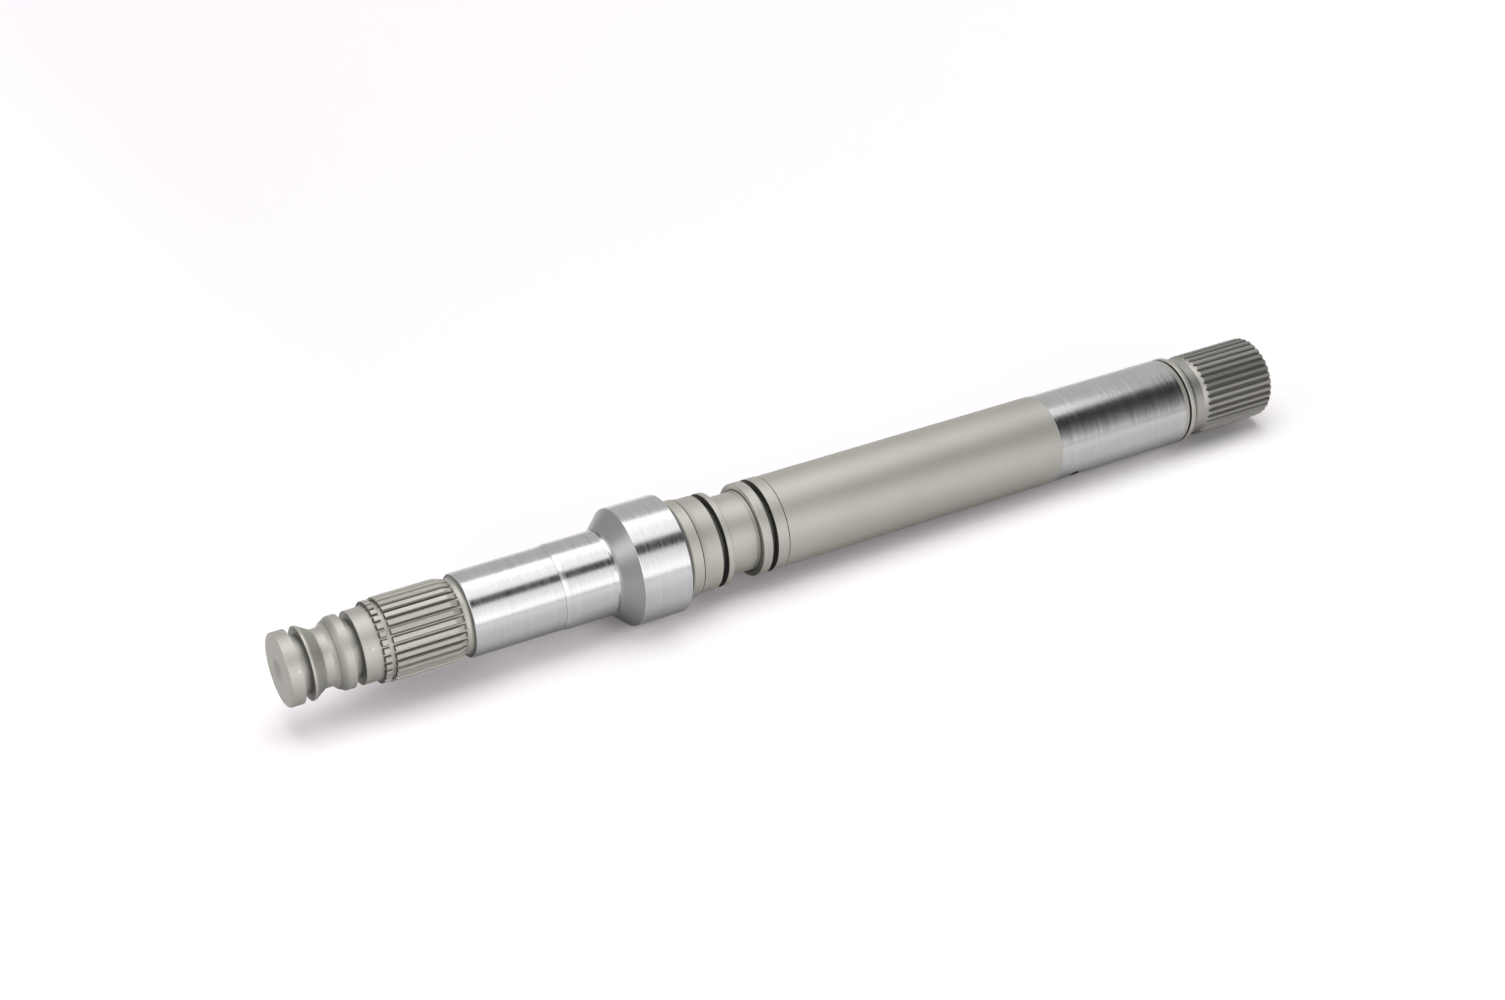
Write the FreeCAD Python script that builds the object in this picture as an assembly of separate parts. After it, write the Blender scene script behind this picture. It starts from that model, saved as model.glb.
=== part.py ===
import FreeCAD, Part
import math
import os

# Input shaft of an automatic transmission: one steel bar, turned, hobbed and ground.
# Its axis is X. The pilot end points to -X, the rear spline to +X, and the origin is the flange's middle.
# Every length is in millimetres and every section is named in the order that it lies along the shaft.

# Pilot: two pairs of lands, each pair parted by a sealing ring groove, with a waist between the pairs
PILOT_DIAMETER = 27.0
PILOT_END_CHAMFER_LENGTH = 0.6
PILOT_END_CHAMFER_DEPTH = 1.0
PILOT_END_LAND = 4.75
PILOT_GROOVE_WIDTH = 3.3
PILOT_GROOVE_DEPTH = 2.9
WAIST_LEFT_LAND = 0.9
WAIST_LEFT_TAPER = 4.45
WAIST_DIAMETER = 21.4
WAIST_LENGTH = 3.0
WAIST_STEEP_TAPER = 1.65
WAIST_KNEE_DIAMETER = 24.5
WAIST_SHALLOW_TAPER = 2.25
WAIST_RIGHT_LAND = 3.05
PILOT_INNER_LAND = 6.45

# Centre hole in the pilot's end face
CENTRE_HOLE_DIAMETER = 8.7
CENTRE_HOLE_ANGLE = 118.0

# Front spline: a short toothed ring, a snap ring groove, then long teeth that run down to a relief groove
FRONT_TOOTH_COUNT = 30
FRONT_TOOTH_DIAMETER = 30.9
FRONT_TOOTH_DEPTH = 1.6
FRONT_SPACE_FLOOR = 0.6
FRONT_FLANK_ANGLE = 18.0
FRONT_FIRST_SPACE = 5.5
FRONT_TOOTH_CHAMFER = 0.4
TOOTHED_RING_DIAMETER = 30.1
TOOTHED_RING_LENGTH = 2.6
SNAP_GROOVE_WIDTH = 1.65
FRONT_TOOTH_LENGTH = 23.35
FRONT_TOOTH_TAPER_LENGTH = 3.0
FRONT_TOOTH_TAPER_DEPTH = 0.95
GROOVE_BELOW_ROOT = 0.1
RELIEF_FLOOR_LENGTH = 2.3
RELIEF_BEVEL = 0.9

# Two ground journals, the second one a little larger, and the flange that the second one runs into
CLUTCH_JOURNAL_DIAMETER = 31.45
CLUTCH_JOURNAL_LENGTH = 35.15
JOURNAL_STEP_TAPER = 1.85
BEARING_JOURNAL_DIAMETER = 32.25
BEARING_JOURNAL_LENGTH = 19.35
JOURNAL_EDGE = 0.35
FLANGE_FILLET = 3.0
FLANGE_CONE_LENGTH = 6.85
FLANGE_DIAMETER = 45.0
FLANGE_LENGTH = 19.25
FLANGE_EDGE = 0.3

# Hub behind the flange, then four lands of one diameter, parted by a ring groove, the neck and a ring groove
HUB_DIAMETER = 37.3
HUB_LENGTH = 6.8
HUB_LINE_DEPTH = 0.12
HUB_TAPER_LENGTH = 2.5
SEAL_DIAMETER = 36.0
SEAL_FIRST_LAND = 5.7
SEAL_GROOVE_WIDTH = 2.4
SEAL_GROOVE_DEPTH = 3.2
SEAL_LEFT_LIP = 2.3
NECK_DIAMETER = 30.4
NECK_LENGTH = 12.45
NECK_BEVEL = 0.6
SEAL_RIGHT_LIP = 3.8
SEAL_LAST_LAND = 4.6

# Long body, left as blasted, and the ground rear journal with its relief groove and thrust land
BODY_DIAMETER = 35.55
BODY_LENGTH = 124.25
REAR_JOURNAL_DIAMETER = 35.15
REAR_JOURNAL_LENGTH = 60.9
REAR_JOURNAL_TAPER_LENGTH = 2.05
REAR_JOURNAL_TAPER_DEPTH = 0.22
RELIEF_GROOVE_WIDTH = 0.95
RELIEF_GROOVE_DEPTH = 1.5
THRUST_LAND = 1.95

# Rear spline: a plain seat, a tapered lead and the teeth, whose spaces run out along an arc behind the lead
REAR_SEAT_DIAMETER = 31.1
REAR_SEAT_LENGTH = 6.35
REAR_LEAD_LENGTH = 1.6
REAR_TOOTH_COUNT = 35
REAR_TOOTH_DIAMETER = 33.1
REAR_TOOTH_DEPTH = 1.25
REAR_SPACE_FLOOR = 0.5
REAR_FLANK_ANGLE = 30.0
REAR_FIRST_SPACE = 3.8
REAR_TOOTH_LENGTH = 31.7
REAR_RUN_OUT_RADIUS = 4.0
REAR_RUN_OUT_START = 3.0
REAR_END_CHAMFER = 0.6

# Oil ways: a blind bore from the rear end, and a cross hole into it from the neck and the rear journal
OIL_BORE_DIAMETER = 9.0
OIL_BORE_TIP_ANGLE = 118.0
OIL_BORE_PAST_NECK_HOLE = 6.0
OIL_BORE_MOUTH_DIAMETER = 13.0
NECK_HOLE_DIAMETER = 5.0
NECK_HOLE_TURN = 233.0
JOURNAL_HOLE_DIAMETER = 4.2
JOURNAL_HOLE_TURN = 130.0
JOURNAL_HOLE_FROM_EDGE = 9.4

# How far a cutter reaches past the surface that it leaves
OVERRUN = 1.0

AXIS = FreeCAD.Vector(1, 0, 0)
CENTRE = FreeCAD.Vector(0, 0, 0)


class Outline:
    """The upper half of the shaft's section: corners from left to right, and named places along X."""

    def __init__(self):
        self.x = 0.0
        self.corners = []
        self.places = {}

    def mark(self, name):
        self.places[name] = self.x

    def corner(self, radius, edge=0.0, fillet=0.0):
        self.corners.append((self.x, radius, edge, fillet))

    def land(self, diameter, length, edge=0.0):
        self.corner(diameter / 2, edge)
        self.x += length
        self.corner(diameter / 2, edge)

    def groove(self, floor_diameter, width):
        self.land(floor_diameter, width)

    def face(self):
        points = [FreeCAD.Vector(self.corners[0][0], 0, 0)]
        points += [FreeCAD.Vector(x, 0, radius) for x, radius, edge, fillet in self.corners]
        points.append(FreeCAD.Vector(self.x, 0, 0))
        finish = [(0, 0)] + [(edge, fillet) for x, radius, edge, fillet in self.corners] + [(0, 0)]
        return Part.Face(Part.Wire(outline_edges(points, finish)))


def cut_back(before, point, after, edge, fillet):
    """Where a corner's edge break or fillet starts and ends, limited by the walls beside it."""
    back = before - point
    ahead = after - point
    room = 0.45 * min(back.Length, ahead.Length)
    turn = math.pi - back.getAngle(ahead)
    length = min(edge if edge else fillet * math.tan(turn / 2), room)
    back.normalize()
    ahead.normalize()
    return point + back * length, point + ahead * length, back + ahead, length, turn


def outline_edges(points, finish):
    """Straight lines between the points, each corner left sharp, broken by a bevel or rounded by an arc."""
    edges = []
    last = points[0]
    for number in range(1, len(points) - 1):
        edge, fillet = finish[number]
        point = points[number]
        if edge or fillet:
            before, after = points[number - 1], points[number + 1]
            start, end, inward, length, turn = cut_back(before, point, after, edge, fillet)
            edges.append(Part.makeLine(last, start))
            if fillet:
                radius = length / math.tan(turn / 2)
                inward.normalize()
                middle = point + inward * (radius / math.cos(turn / 2) - radius)
                edges.append(Part.Arc(start, middle, end).toShape())
            else:
                edges.append(Part.makeLine(start, end))
            last = end
        else:
            edges.append(Part.makeLine(last, point))
            last = point
    edges.append(Part.makeLine(last, points[-1]))
    edges.append(Part.makeLine(points[-1], points[0]))
    return edges


def draw_pilot(outline):
    groove_floor = PILOT_DIAMETER - 2 * PILOT_GROOVE_DEPTH
    outline.corner(PILOT_DIAMETER / 2 - PILOT_END_CHAMFER_DEPTH)
    outline.x += PILOT_END_CHAMFER_LENGTH
    outline.mark("pilot")
    outline.corner(PILOT_DIAMETER / 2)
    outline.x += PILOT_END_LAND
    outline.corner(PILOT_DIAMETER / 2)
    outline.groove(groove_floor, PILOT_GROOVE_WIDTH)
    outline.corner(PILOT_DIAMETER / 2)
    outline.x += WAIST_LEFT_LAND
    outline.corner(PILOT_DIAMETER / 2)
    outline.x += WAIST_LEFT_TAPER
    outline.groove(WAIST_DIAMETER, WAIST_LENGTH)
    outline.x += WAIST_STEEP_TAPER
    outline.corner(WAIST_KNEE_DIAMETER / 2)
    outline.x += WAIST_SHALLOW_TAPER
    outline.corner(PILOT_DIAMETER / 2)
    outline.x += WAIST_RIGHT_LAND
    outline.corner(PILOT_DIAMETER / 2)
    outline.groove(groove_floor, PILOT_GROOVE_WIDTH)
    outline.corner(PILOT_DIAMETER / 2)
    outline.x += PILOT_INNER_LAND
    outline.corner(PILOT_DIAMETER / 2)


def draw_front_spline(outline):
    floor = FRONT_TOOTH_DIAMETER - 2 * FRONT_TOOTH_DEPTH - 2 * GROOVE_BELOW_ROOT
    outline.mark("front_spline_start")
    outline.corner(TOOTHED_RING_DIAMETER / 2, FRONT_TOOTH_CHAMFER)
    outline.x += TOOTHED_RING_LENGTH
    outline.corner(TOOTHED_RING_DIAMETER / 2)
    outline.groove(floor, SNAP_GROOVE_WIDTH)
    outline.corner(FRONT_TOOTH_DIAMETER / 2)
    outline.x += FRONT_TOOTH_LENGTH
    outline.corner(FRONT_TOOTH_DIAMETER / 2)
    outline.x += FRONT_TOOTH_TAPER_LENGTH
    outline.corner(FRONT_TOOTH_DIAMETER / 2 - FRONT_TOOTH_TAPER_DEPTH)
    outline.x += FRONT_TOOTH_DEPTH + GROOVE_BELOW_ROOT - FRONT_TOOTH_TAPER_DEPTH
    outline.mark("front_spline_end")
    outline.corner(floor / 2)
    outline.x += RELIEF_FLOOR_LENGTH
    outline.corner(floor / 2, RELIEF_BEVEL)


def draw_journals_and_flange(outline):
    outline.mark("clutch_journal")
    outline.corner(CLUTCH_JOURNAL_DIAMETER / 2, JOURNAL_EDGE)
    outline.x += CLUTCH_JOURNAL_LENGTH
    outline.corner(CLUTCH_JOURNAL_DIAMETER / 2)
    outline.x += JOURNAL_STEP_TAPER
    outline.mark("bearing_journal")
    outline.corner(BEARING_JOURNAL_DIAMETER / 2)
    outline.x += BEARING_JOURNAL_LENGTH
    outline.corner(BEARING_JOURNAL_DIAMETER / 2, fillet=FLANGE_FILLET)
    outline.x += FLANGE_CONE_LENGTH
    outline.mark("flange")
    outline.land(FLANGE_DIAMETER, FLANGE_LENGTH, FLANGE_EDGE)


def draw_seal_lands(outline):
    groove_floor = SEAL_DIAMETER - 2 * SEAL_GROOVE_DEPTH
    outline.corner(HUB_DIAMETER / 2, NECK_BEVEL)
    outline.x += HUB_LENGTH
    outline.corner(HUB_DIAMETER / 2)
    outline.corner(HUB_DIAMETER / 2 - HUB_LINE_DEPTH)
    outline.x += HUB_TAPER_LENGTH
    outline.mark("seal_lands")
    outline.corner(SEAL_DIAMETER / 2)
    outline.x += SEAL_FIRST_LAND
    outline.corner(SEAL_DIAMETER / 2)
    outline.groove(groove_floor, SEAL_GROOVE_WIDTH)
    outline.land(SEAL_DIAMETER, SEAL_LEFT_LIP)
    outline.mark("neck")
    outline.land(NECK_DIAMETER, NECK_LENGTH, NECK_BEVEL)
    outline.land(SEAL_DIAMETER, SEAL_RIGHT_LIP)
    outline.groove(groove_floor, SEAL_GROOVE_WIDTH)
    outline.corner(SEAL_DIAMETER / 2)
    outline.x += SEAL_LAST_LAND
    outline.corner(SEAL_DIAMETER / 2)
    outline.mark("seal_lands_end")


def draw_body_and_rear_journal(outline):
    outline.land(BODY_DIAMETER, BODY_LENGTH)
    outline.mark("rear_journal")
    outline.corner(REAR_JOURNAL_DIAMETER / 2)
    outline.x += REAR_JOURNAL_LENGTH
    outline.corner(REAR_JOURNAL_DIAMETER / 2)
    outline.x += REAR_JOURNAL_TAPER_LENGTH
    outline.corner(REAR_JOURNAL_DIAMETER / 2 - REAR_JOURNAL_TAPER_DEPTH)
    outline.groove(REAR_JOURNAL_DIAMETER - 2 * RELIEF_GROOVE_DEPTH, RELIEF_GROOVE_WIDTH)
    outline.land(REAR_JOURNAL_DIAMETER, THRUST_LAND)


def draw_rear_spline(outline):
    outline.corner(REAR_SEAT_DIAMETER / 2, NECK_BEVEL)
    outline.x += REAR_SEAT_LENGTH
    outline.corner(REAR_SEAT_DIAMETER / 2)
    outline.x += REAR_LEAD_LENGTH
    outline.mark("rear_spline_start")
    outline.corner(REAR_TOOTH_DIAMETER / 2)
    outline.x += REAR_TOOTH_LENGTH
    outline.corner(REAR_TOOTH_DIAMETER / 2)
    outline.x += REAR_END_CHAMFER
    outline.mark("rear_end")
    outline.corner(REAR_TOOTH_DIAMETER / 2 - REAR_END_CHAMFER)


def around(tool, count, first_turn):
    """Copies of a cutter all round the shaft; a turn of 0 points up and the next ones go towards -Y."""
    copies = []
    for number in range(count):
        copy = tool.copy()
        copy.rotate(CENTRE, AXIS, first_turn + number * 360.0 / count)
        copies.append(copy)
    return copies


def space_section(x, root, top, floor_width, flank_angle):
    """The section of a space between two teeth: a flat floor and straight flanks that open outwards."""
    half_floor = floor_width / 2
    half_top = half_floor + (top - root) * math.tan(math.radians(flank_angle))
    corners = [(-half_floor, root), (half_floor, root), (half_top, top), (-half_top, top)]
    points = [FreeCAD.Vector(x, y, z) for y, z in corners]
    return Part.Face(Part.makePolygon(points + points[:1]))


def front_spaces(outline):
    """Straight spaces, cut in one pass over the toothed ring and the front spline."""
    root = FRONT_TOOTH_DIAMETER / 2 - FRONT_TOOTH_DEPTH
    top = FRONT_TOOTH_DIAMETER / 2 + OVERRUN
    start = outline.places["front_spline_start"] - OVERRUN / 4
    length = outline.places["front_spline_end"] - start
    section = space_section(start, root, top, FRONT_SPACE_FLOOR, FRONT_FLANK_ANGLE)
    return around(section.extrude(AXIS * length), FRONT_TOOTH_COUNT, FRONT_FIRST_SPACE)


def rear_spaces(outline):
    """Straight spaces from the rear end, each running out behind the lead along the cutter's own arc."""
    root = REAR_TOOTH_DIAMETER / 2 - REAR_TOOTH_DEPTH
    top = REAR_TOOTH_DIAMETER / 2 + OVERRUN
    start = outline.places["rear_spline_start"] + REAR_RUN_OUT_START
    length = outline.places["rear_end"] + OVERRUN - start
    section = space_section(start, root, top, REAR_SPACE_FLOOR, REAR_FLANK_ANGLE)
    cutter_centre = FreeCAD.Vector(start, 0, root + REAR_RUN_OUT_RADIUS)
    run_out_turn = math.degrees(math.acos(1 - (top - root) / REAR_RUN_OUT_RADIUS))
    run_out = section.revolve(cutter_centre, FreeCAD.Vector(0, 1, 0), run_out_turn)
    space = section.extrude(AXIS * length).fuse(run_out)
    return around(space, REAR_TOOTH_COUNT, REAR_FIRST_SPACE)


def centre_hole():
    depth = CENTRE_HOLE_DIAMETER / 2 / math.tan(math.radians(CENTRE_HOLE_ANGLE / 2))
    return Part.makeCone(CENTRE_HOLE_DIAMETER / 2, 0, depth, CENTRE, AXIS)


def oil_bore(outline):
    """Blind bore with a drilled tip that ends just past the neck's cross hole, and its chamfered mouth."""
    radius = OIL_BORE_DIAMETER / 2
    end = outline.places["rear_end"]
    blind_end = neck_hole_x(outline) - OIL_BORE_PAST_NECK_HOLE
    bore = Part.makeCylinder(radius, end + OVERRUN - blind_end, FreeCAD.Vector(blind_end, 0, 0), AXIS)
    tip_depth = radius / math.tan(math.radians(OIL_BORE_TIP_ANGLE / 2))
    tip = Part.makeCone(radius, 0, tip_depth, FreeCAD.Vector(blind_end, 0, 0), -AXIS)
    mouth_radius = OIL_BORE_MOUTH_DIAMETER / 2
    mouth = Part.makeCone(mouth_radius, 0, mouth_radius, FreeCAD.Vector(end, 0, 0), -AXIS)
    return [bore, tip, mouth]


def neck_hole_x(outline):
    return outline.places["neck"] + NECK_LENGTH / 2


def cross_hole(x, diameter, turn, reach):
    """A radial hole from the axis out through one side only."""
    hole = Part.makeCylinder(diameter / 2, reach, FreeCAD.Vector(x, 0, 0), FreeCAD.Vector(0, 0, 1))
    hole.rotate(CENTRE, AXIS, turn)
    return hole


def make_shaft():
    outline = Outline()
    draw_pilot(outline)
    draw_front_spline(outline)
    draw_journals_and_flange(outline)
    draw_seal_lands(outline)
    draw_body_and_rear_journal(outline)
    draw_rear_spline(outline)
    shaft = outline.face().revolve(CENTRE, AXIS, 360)
    journal_hole_x = outline.places["rear_journal"] + JOURNAL_HOLE_FROM_EDGE
    tools = front_spaces(outline) + rear_spaces(outline) + oil_bore(outline) + [centre_hole()]
    tools.append(cross_hole(neck_hole_x(outline), NECK_HOLE_DIAMETER, NECK_HOLE_TURN, SEAL_DIAMETER))
    tools.append(cross_hole(journal_hole_x, JOURNAL_HOLE_DIAMETER, JOURNAL_HOLE_TURN, REAR_JOURNAL_DIAMETER))
    shaft = shaft.cut(tools)
    flange_middle = outline.places["flange"] + FLANGE_LENGTH / 2
    shaft.translate(-AXIS * flange_middle)
    return shaft.Solids[0], outline, flange_middle


os.makedirs("parts", exist_ok=True)
input_shaft, drawn, origin = make_shaft()
input_shaft.exportStep("parts/input_shaft.step")
print("valid", input_shaft.isValid(), "volume", round(input_shaft.Volume), "faces", len(input_shaft.Faces))
for place, where in drawn.places.items():
    print(place, round(where - origin, 3))
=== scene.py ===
import math

import bpy
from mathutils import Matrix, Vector


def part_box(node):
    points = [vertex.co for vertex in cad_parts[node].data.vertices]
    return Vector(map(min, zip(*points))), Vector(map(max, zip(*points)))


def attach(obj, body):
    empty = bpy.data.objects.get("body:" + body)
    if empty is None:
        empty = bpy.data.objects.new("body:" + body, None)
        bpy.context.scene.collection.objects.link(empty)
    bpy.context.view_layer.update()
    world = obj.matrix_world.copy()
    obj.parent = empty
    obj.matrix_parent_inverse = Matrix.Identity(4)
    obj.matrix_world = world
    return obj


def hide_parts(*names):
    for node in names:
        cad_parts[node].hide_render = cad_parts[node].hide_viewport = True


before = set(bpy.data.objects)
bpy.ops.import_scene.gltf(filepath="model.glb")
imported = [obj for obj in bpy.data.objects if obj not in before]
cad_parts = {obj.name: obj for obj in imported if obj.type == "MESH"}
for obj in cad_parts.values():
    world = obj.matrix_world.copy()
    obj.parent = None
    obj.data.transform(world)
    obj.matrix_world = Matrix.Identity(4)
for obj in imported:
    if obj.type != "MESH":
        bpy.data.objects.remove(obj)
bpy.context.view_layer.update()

# Camera
# It stands before the pilot end, looks down along the shaft to the rear spline, and has no roll.
CAMERA_PLACE = Vector((-0.31718, -0.65000, 0.48188))
CAMERA_VIEW = Vector((0.41314, 0.73792, -0.53366))
LENS = 56.4
SENSOR_WIDTH = 36
VIEW_REACH = 50

camera_data = bpy.data.cameras.new("camera")
camera_data.lens = LENS
camera_data.sensor_width = SENSOR_WIDTH
camera_data.clip_end = VIEW_REACH
camera = bpy.data.objects.new("camera", camera_data)
camera.location = CAMERA_PLACE
camera.rotation_euler = CAMERA_VIEW.to_track_quat("-Z", "Y").to_euler()
bpy.context.scene.collection.objects.link(camera)
bpy.context.scene.camera = camera
bpy.context.scene.view_settings.view_transform = "Standard"

# Turned blank: pilot
# The bar is turned from the pilot end to the rear spline. Half its section is drawn as one chain, and each
# corner is eased as the tool and the blasting leave it. Here: end face, two ring grooves and the waist.
MM = 0.001
TOUCH = 0.01 * MM
low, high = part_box("input_shaft")

FINE_EDGE = 0.12 * MM
SOFT_EDGE = 0.3 * MM
PILOT_RADIUS = 13.5 * MM
PILOT_FACE_RADIUS = 12.5 * MM
PILOT_CHAMFER = 0.6 * MM
PILOT_END_LAND = 4.75 * MM
PILOT_GROOVE_WIDTH = 3.3 * MM
PILOT_GROOVE_RADIUS = 10.6 * MM
WAIST_LEFT_LAND = 0.9 * MM
WAIST_LEFT_TAPER = 4.45 * MM
WAIST_RADIUS = 10.7 * MM
WAIST_LENGTH = 3.0 * MM
WAIST_STEEP_TAPER = 1.65 * MM
WAIST_KNEE_RADIUS = 12.25 * MM
WAIST_SHALLOW_TAPER = 2.25 * MM
KNEE_LINE_WIDTH = 0.3 * MM
KNEE_LINE_DEPTH = 0.1 * MM
WAIST_EASE = 0.35 * MM
WAIST_RIGHT_LAND = 3.05 * MM
PILOT_INNER_LAND = 6.45 * MM
CENTRE_HOLE_RADIUS = 4.35 * MM
CENTRE_HOLE_DEPTH = 2.6 * MM


class Turning:
    """Half the shaft's section, drawn as a chain of vertices; eases is what each corner is rounded by."""

    def __init__(self, x, radius):
        self.x = x
        self.radius = radius
        self.eases = {}
        bpy.ops.object.select_all(action="DESELECT")
        bpy.ops.mesh.primitive_plane_add(size=MM, location=(x, 0, radius))
        bpy.ops.object.transform_apply(location=True)
        bpy.ops.object.mode_set(mode="EDIT")
        bpy.ops.mesh.merge(type="CENTER")

    def draw(self, length, radius=None, ease=0.0):
        """Goes on by a length along the shaft and out or in to a radius, and eases the corner found there."""
        rise = 0.0 if radius is None else radius - self.radius
        bpy.ops.mesh.extrude_vertices_move(TRANSFORM_OT_translate={"value": (length, 0, rise)})
        self.x += length
        self.radius += rise
        if ease:
            self.eases.setdefault(ease, []).append(Vector((self.x, 0, self.radius)))

    def step(self, radius, ease=0.0):
        self.draw(0.0, radius, ease)

    def scribe(self, radius, width, depth):
        """Cuts a fine pointed line round the shaft and goes on at this radius."""
        self.draw(width / 2, radius - depth)
        self.draw(width / 2, radius)

    def groove(self, radius, width, ease):
        """Cuts a square groove down to a radius, comes back up to the land, and tells where it starts."""
        start, land = self.x, self.radius
        self.step(radius, ease)
        self.draw(width, ease=ease)
        self.step(land, ease)
        return start

    def ease_corners(self, object_, ease, segments):
        """Rounds every corner that was drawn with this ease."""
        bpy.ops.mesh.select_all(action="DESELECT")
        bpy.ops.object.mode_set(mode="OBJECT")
        for vertex in object_.data.vertices:
            vertex.select = any((vertex.co - place).length < TOUCH for place in self.eases[ease])
        bpy.ops.object.mode_set(mode="EDIT")
        bpy.ops.mesh.bevel(affect="VERTICES", offset=ease, segments=segments)


turning = Turning(low.x + CENTRE_HOLE_DEPTH, 0.0)
shaft = bpy.context.object
shaft.name = "input_shaft_finished"
turning.draw(-CENTRE_HOLE_DEPTH, CENTRE_HOLE_RADIUS, SOFT_EDGE)
turning.step(PILOT_FACE_RADIUS, SOFT_EDGE)
turning.draw(PILOT_CHAMFER, PILOT_RADIUS, SOFT_EDGE)
turning.draw(PILOT_END_LAND, ease=FINE_EDGE)
pilot_grooves = [turning.groove(PILOT_GROOVE_RADIUS, PILOT_GROOVE_WIDTH, FINE_EDGE)]
turning.draw(WAIST_LEFT_LAND, ease=SOFT_EDGE)
waist_start = turning.x
turning.draw(WAIST_LEFT_TAPER, WAIST_RADIUS, WAIST_EASE)
turning.draw(WAIST_LENGTH, ease=WAIST_EASE)
turning.draw(WAIST_STEEP_TAPER, WAIST_KNEE_RADIUS)
waist_knee = turning.x
turning.scribe(WAIST_KNEE_RADIUS, KNEE_LINE_WIDTH, KNEE_LINE_DEPTH)
turning.draw(WAIST_SHALLOW_TAPER - KNEE_LINE_WIDTH, PILOT_RADIUS, SOFT_EDGE)
turning.draw(WAIST_RIGHT_LAND, ease=FINE_EDGE)
pilot_grooves.append(turning.groove(PILOT_GROOVE_RADIUS, PILOT_GROOVE_WIDTH, FINE_EDGE))
turning.draw(PILOT_INNER_LAND)

# Turned blank: front spline
# A short toothed ring, a groove for a snap ring, then the long teeth, which slope down to a relief groove.
# Only the tips are turned here. The spaces between the teeth are cut later.
FRONT_TOOTH_RADIUS = 15.45 * MM
FRONT_ROOT_RADIUS = 13.85 * MM
RING_RADIUS = 15.05 * MM
RING_CHAMFER = 0.4 * MM
RING_LENGTH = 2.6 * MM
FRONT_GROOVE_RADIUS = 13.75 * MM
SNAP_GROOVE_WIDTH = 1.65 * MM
FRONT_TOOTH_LENGTH = 23.35 * MM
FRONT_SLOPE_LENGTH = 3.0 * MM
FRONT_SLOPE_DEPTH = 0.95 * MM
RELIEF_LENGTH = 2.3 * MM
RELIEF_EASE = 1.4 * MM

front_spline_start = turning.x
turning.step(RING_RADIUS - RING_CHAMFER)
turning.draw(RING_CHAMFER, RING_RADIUS, FINE_EDGE)
turning.draw(RING_LENGTH - RING_CHAMFER, ease=FINE_EDGE)
turning.step(FRONT_GROOVE_RADIUS)
turning.draw(SNAP_GROOVE_WIDTH)
front_teeth_start = turning.x
turning.step(FRONT_TOOTH_RADIUS, FINE_EDGE)
turning.draw(FRONT_TOOTH_LENGTH, ease=SOFT_EDGE)
turning.draw(FRONT_SLOPE_LENGTH, FRONT_TOOTH_RADIUS - FRONT_SLOPE_DEPTH, SOFT_EDGE)
turning.draw(turning.radius - FRONT_GROOVE_RADIUS, FRONT_GROOVE_RADIUS)
front_spline_end = turning.x
turning.draw(RELIEF_LENGTH, ease=RELIEF_EASE)

# Turned blank: ground journals and flange
# Two journals, the second a little larger, and a flange with a coned face that the second one runs into.
CLUTCH_JOURNAL_RADIUS = 15.725 * MM
CLUTCH_JOURNAL_LENGTH = 35.15 * MM
JOURNAL_CHAMFER = 0.35 * MM
JOURNAL_SLOPE_LENGTH = 1.85 * MM
TOOL_LINE_WIDTH = 0.2 * MM
TOOL_LINE_DEPTH = 0.06 * MM
BEARING_JOURNAL_RADIUS = 16.125 * MM
BEARING_JOURNAL_LENGTH = 19.35 * MM
FLANGE_FILLET = 1.6 * MM
CONE_LENGTH = 6.85 * MM
FLANGE_RADIUS = 22.5 * MM
FLANGE_LENGTH = 19.25 * MM

clutch_journal_start = turning.x
turning.step(CLUTCH_JOURNAL_RADIUS - JOURNAL_CHAMFER, FINE_EDGE)
turning.draw(JOURNAL_CHAMFER, CLUTCH_JOURNAL_RADIUS, FINE_EDGE)
turning.draw(CLUTCH_JOURNAL_LENGTH - JOURNAL_CHAMFER - TOOL_LINE_WIDTH)
journal_step_start = turning.x
turning.scribe(CLUTCH_JOURNAL_RADIUS, TOOL_LINE_WIDTH, TOOL_LINE_DEPTH)
turning.draw(JOURNAL_SLOPE_LENGTH, BEARING_JOURNAL_RADIUS)
turning.scribe(BEARING_JOURNAL_RADIUS, TOOL_LINE_WIDTH, TOOL_LINE_DEPTH)
turning.draw(BEARING_JOURNAL_LENGTH - TOOL_LINE_WIDTH, ease=FLANGE_FILLET)
cone_start = turning.x
turning.draw(CONE_LENGTH, FLANGE_RADIUS, SOFT_EDGE)
flange_start = turning.x
turning.draw(FLANGE_LENGTH, ease=SOFT_EDGE)
flange_end = turning.x

# Turned blank: hub and sealing lands
# Behind the flange stands a short hub with a scribed line, then come lands of one height with two ring
# grooves and a neck between them.
HUB_RADIUS = 18.65 * MM
HUB_LENGTH = 6.8 * MM
HUB_LINE_DEPTH = 0.12 * MM
HUB_SLOPE_LENGTH = 2.5 * MM
SEAL_RADIUS = 18.0 * MM
SEAL_FIRST_LAND = 5.7 * MM
SEAL_GROOVE_WIDTH = 2.4 * MM
SEAL_GROOVE_RADIUS = 14.8 * MM
SEAL_LEFT_LIP = 2.3 * MM
NECK_RADIUS = 15.2 * MM
NECK_LENGTH = 12.45 * MM
NECK_FILLET = 0.8 * MM
SEAL_RIGHT_LIP = 3.8 * MM
SEAL_LAST_LAND = 4.6 * MM
LINE_WIDTH = 0.4 * MM
LINE_DEPTH = 0.2 * MM

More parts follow.
